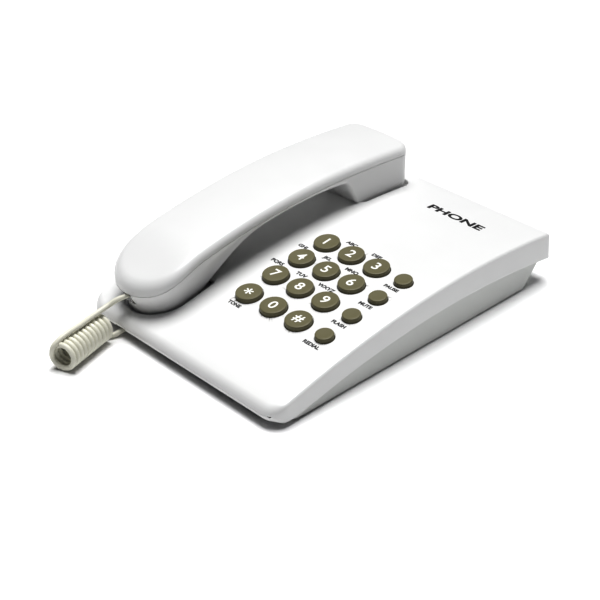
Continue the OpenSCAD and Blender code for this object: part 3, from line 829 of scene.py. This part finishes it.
def handset_outline():
    """Plan of the handset at its joint line: round mouthpiece end, squarer earpiece end."""
    right = []
    for k in range(17):
        a = math.radians(-90 + 90 * k / 16)
        r = HS_MOUTH_R + HS_MOUTH_BULGE * smooth(-math.sin(a), 0.0, 0.8)
        right.append(((r * math.cos(a), HS_MOUTH_Y + r * math.sin(a)),
            (math.cos(a), math.sin(a))))
    side_end = HS_REAR_Y - HS_REAR_CORNER_R
    lean = math.atan2(EAR_HALF_W - HS_MOUTH_R, side_end - HS_MOUTH_Y)
    count = 92
    for k in range(1, count):
        t = k / count
        y = HS_MOUTH_Y + (side_end - HS_MOUTH_Y) * t
        right.append(((half_width(y), y), (math.cos(lean), -math.sin(lean))))
    for k in range(9):
        a = math.radians(90 * k / 8)
        right.append(((EAR_HALF_W - HS_REAR_CORNER_R
            + HS_REAR_CORNER_R * math.cos(a),
            side_end + HS_REAR_CORNER_R * math.sin(a)), (math.cos(a), math.sin(a))))
    for k in range(1, 5):
        right.append((((EAR_HALF_W - HS_REAR_CORNER_R) * (1 - k / 5), HS_REAR_Y), (0.0, 1.0)))
    points = [(HS_X + p[0], p[1]) for p, n in right]
    normals = [n for p, n in right]
    left = [((HS_X - p[0], p[1]), (-n[0], n[1])) for p, n in reversed(right[1:])]
    points += [(HS_X, HS_REAR_Y)] + [p for p, n in left]
    normals += [(0.0, 1.0)] + [n for p, n in left]
    return points, normals


def half_width(y):
    """Half the handset's width at its joint line, widening towards the earpiece."""
    t = (y - HS_MOUTH_Y) / (HS_REAR_Y - HS_REAR_CORNER_R - HS_MOUTH_Y)
    return HS_MOUTH_R + (EAR_HALF_W - HS_MOUTH_R) * smooth(t, 0.0, 1.0)


def taper(y, n):
    """How far the lower edge is drawn in at the mouthpiece end, most of all at its front."""
    return HS_TAPER * smooth(-y, -10.0, 62.0) + HS_MOUTH_BULGE * front_share(n)


def handset_back(x, y):
    """Height of the handset's back, arched along it and crowned across it."""
    radius = HS_FRONT_R if y < HS_CREST_Y else HS_REAR_R
    crest = arc_z(y, (HS_CREST_Y, HS_TOP_Z, radius))
    across = (x - HS_X) / half_width(y)
    return crest - HS_CROWN * across ** 2 - HS_DROP * smooth(-y, 66.0, 104.0)


def handset_low(x, y):
    """Height of the handset's lower side: two end blocks and the arched grip between them."""
    block_z = top_z(y) - HS_SINK
    across = clamp((x - HS_X) / half_width(y), -1.0, 1.0)
    grip = arc_z(y, GRIP_ARC) - GRIP_CROWN * (1 - across ** 2)
    if y < 0.0:
        mouth = clamp(MOUTH_BLOCK_Z + (y - MOUTH_BLOCK_Y) * MOUTH_BLOCK_SLOPE, 0.0, HS_TOP_Z)
        return soft_max(soft_min(mouth, grip, 5.0), block_z, 2.0)
    ear = HS_TOP_Z if y < EAR_STEP_Y else EAR_BLOCK_Z - (y - EAR_BLOCK_Y) * EAR_BLOCK_SLOPE
    return soft_max(soft_min(ear, grip, 4.0), block_z, 3.0)


def soft_min(a, b, blend):
    """The smaller of two heights, rounded where they meet."""
    h = clamp(0.5 + 0.5 * (b - a) / blend, 0.0, 1.0)
    return b + (a - b) * h - blend * h * (1 - h)


def soft_max(a, b, blend):
    """The larger of two heights, rounded where they meet."""
    return -soft_min(-a, -b, blend)


def split_z(x, y):
    """Height of the joint line between the handset's two shells."""
    return handset_back(HS_X, y) - HS_SPLIT - 0.6 * smooth(-y, 80.0, 100.0)


def back_radius(n):
    """Radius of the back's edge: softest at the mouthpiece end."""
    return 4.4 + 1.2 * front_share(n) - 1.4 * rear_share(n)


def side_point(low, joint, share):
    """A point part of the way up the side: nearly upright below, then flaring out."""
    (px, py), (jx, jy) = low, joint
    top = split_z(jx, jy) - 0.15
    bottom = min(handset_low(jx, jy) + 2.4, top - 0.05)
    flare = smooth(share, 0.2, 1.0) * 0.5 + share * 0.5
    return (px + (jx - px) * flare, py + (jy - py) * flare, bottom + (top - bottom) * share)


def handset_medial(outline):
    return middle_line(outline, HS_X, MOUTH_Y, EAR_Y1 - 20.0)


def back_shell_rings(points, normals):
    """Rings of the back shell, from the middle of the back, over its edge and to its inside."""
    first = inset(points, normals, lambda nx, ny: back_radius((nx, ny)))
    rings = cap(first, handset_medial(first), handset_back, 8)
    for k in range(HS_ROUNDING + 1):
        a = math.pi / 2 * k / HS_ROUNDING
        rings.append(layer(points, normals,
            lambda nx, ny: back_radius((nx, ny)) * (1 - math.sin(a)),
            lambda x, y, n: handset_back(x, y) - back_radius(n) * (1 - math.cos(a)) * 0.92))
    rings.append(layer(points, normals, 0.0, lambda x, y, n: split_z(x, y) + 0.15))
    rings.append(layer(points, normals, HS_GROOVE, lambda x, y, n: split_z(x, y) + 0.05))
    rings.append(layer(points, normals, HS_WALL, lambda x, y, n: split_z(x, y) + 0.05))
    inner = lambda nx, ny: HS_WALL + 3.0 + 3.0 * front_share((nx, ny))
    rings.append(layer(points, normals, inner, lambda x, y, n: handset_back(x, y) - HS_WALL))
    last = inset(points, normals, inner)
    inside = cap(last, handset_medial(last), lambda x, y: handset_back(x, y) - HS_WALL, 6)
    return rings + inside[::-1]


def face_shell_rings(joint, normals):
    """Rings of the face shell, whose lower edge is drawn in towards the mouthpiece."""
    points = [(x - n[0] * taper(y, n), y - n[1] * taper(y, n))
        for (x, y), n in zip(joint, normals)]
    first = inset(points, normals, HS_FACE_EDGE_R)
    rings = cap(first, handset_medial(first), handset_low, 10)
    for k in range(HS_ROUNDING + 1):
        a = math.pi / 2 * k / HS_ROUNDING
        rings.append(layer(points, normals, HS_FACE_EDGE_R * (1 - math.sin(a)),
            lambda x, y, n: min(handset_low(x, y) + HS_FACE_EDGE_R * (1 - math.cos(a)),
                split_z(x, y) - 0.2)))
    for k in range(1, 9):
        rings.append([side_point(low, high, k / 8) for low, high in zip(points, joint)])
    rings.append(layer(joint, normals, HS_GROOVE, lambda x, y, n: split_z(x, y) - 0.05))
    rings.append(layer(joint, normals, HS_WALL, lambda x, y, n: split_z(x, y) - 0.05))
    inner = lambda x, y, n=None: min(handset_low(x, y) + HS_WALL, split_z(x, y) - 0.6)
    rings.append(layer(points, normals, HS_WALL + 0.4, inner))
    last = inset(points, normals, HS_WALL + 0.4)
    return rings + cap(last, handset_medial(last), inner, 8)[::-1]


def face_drills():
    """Cutters of the sound holes: a ring of six round a middle one, and three in a row."""
    ear_holes = [(0.0, 0.0)] + [(EAR_HOLE_CIRCLE * math.cos(math.radians(60 * k)),
        EAR_HOLE_CIRCLE * math.sin(math.radians(60 * k))) for k in range(6)]
    return [drill(EAR_HOLE_R, HS_X + dx, RECEIVER_Y + dy, 20, 36, 20)
        for dx, dy in ear_holes] + [
        drill(MOUTH_HOLE_R, HS_X + MOUTH_HOLE_PITCH * k, MICROPHONE_Y, 5, 20, 16)
        for k in (-1, 0, 1)]


def make_handset():
    points, normals = handset_outline()
    mesh = finish_mesh(skin(back_shell_rings(points, normals)), "handset_back")
    shell = add_object("handset_back", mesh, MATERIALS["white_shell"], "handset")
    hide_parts("handset_upper_shell")

    mesh = finish_mesh(skin(face_shell_rings(points, normals)), "handset_face")
    face = add_object("handset_face", mesh, MATERIALS["white_shell"], None)
    boolean(face, face_drills(), "DIFFERENCE")
    boolean(face, [block(*CORD_EXIT)], "DIFFERENCE")
    mark_smooth(face.data)
    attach(face, "handset")
    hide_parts("handset_lower_shell")


# ---------- carried-over CAD nodes ----------

def dress_nodes():
    """Gives every CAD node the material that the record names for it."""
    for part in frame["record"]["subparts"]:
        node = frame["nodes"][part["node"]]
        node.data.materials.clear()
        node.data.materials.append(MATERIALS[part["material_slot"]])


# ---------- stage ----------

FLOOR_HALF = 12.0
FLOOR_COLOR = (0.93, 0.93, 0.93)
WORLD_COLOR = (0.86, 0.9, 1.0)
WORLD_STRENGTH = 0.05
VIEW_GAMMA = 0.74
KEY_FROM = (-0.15, 0.2, 1.2)
KEY_STRENGTH = 4.3
KEY_SPREAD = 38.0


def make_stage():
    floor_bm = bmesh.new()
    bmesh.ops.create_grid(floor_bm, x_segments=1, y_segments=1, size=FLOOR_HALF / MM)
    floor_mesh = finish_mesh(floor_bm, "floor")
    material = new_material("floor", FLOOR_COLOR, 0.9, 0.0)[0]
    floor = bpy.data.objects.new("floor", floor_mesh)
    bpy.context.scene.collection.objects.link(floor)
    floor.data.materials.append(material)

    world = bpy.data.worlds.new("studio")
    bpy.context.scene.world = world
    world.use_nodes = True
    background = world.node_tree.nodes["Background"]
    background.inputs["Color"].default_value = (*WORLD_COLOR, 1.0)
    background.inputs["Strength"].default_value = WORLD_STRENGTH
    add_sun("key_light", KEY_FROM, KEY_STRENGTH, KEY_SPREAD)
    bpy.context.scene.view_settings.view_transform = "Standard"
    bpy.context.scene.view_settings.gamma = VIEW_GAMMA


def add_sun(name, place, strength, spread):
    """A broad, distant soft light that shines from a place towards the object."""
    data = bpy.data.lights.new(name, "SUN")
    data.energy = strength
    data.angle = math.radians(spread)
    light = bpy.data.objects.new(name, data)
    bpy.context.scene.collection.objects.link(light)
    light.location = place
    light.rotation_mode = "QUATERNION"
    light.rotation_quaternion = (-Vector(place)).to_track_quat("-Z", "Y")


make_camera()
make_cord()
make_top_cover()
make_keypad()
make_handset()
dress_nodes()
make_stage()
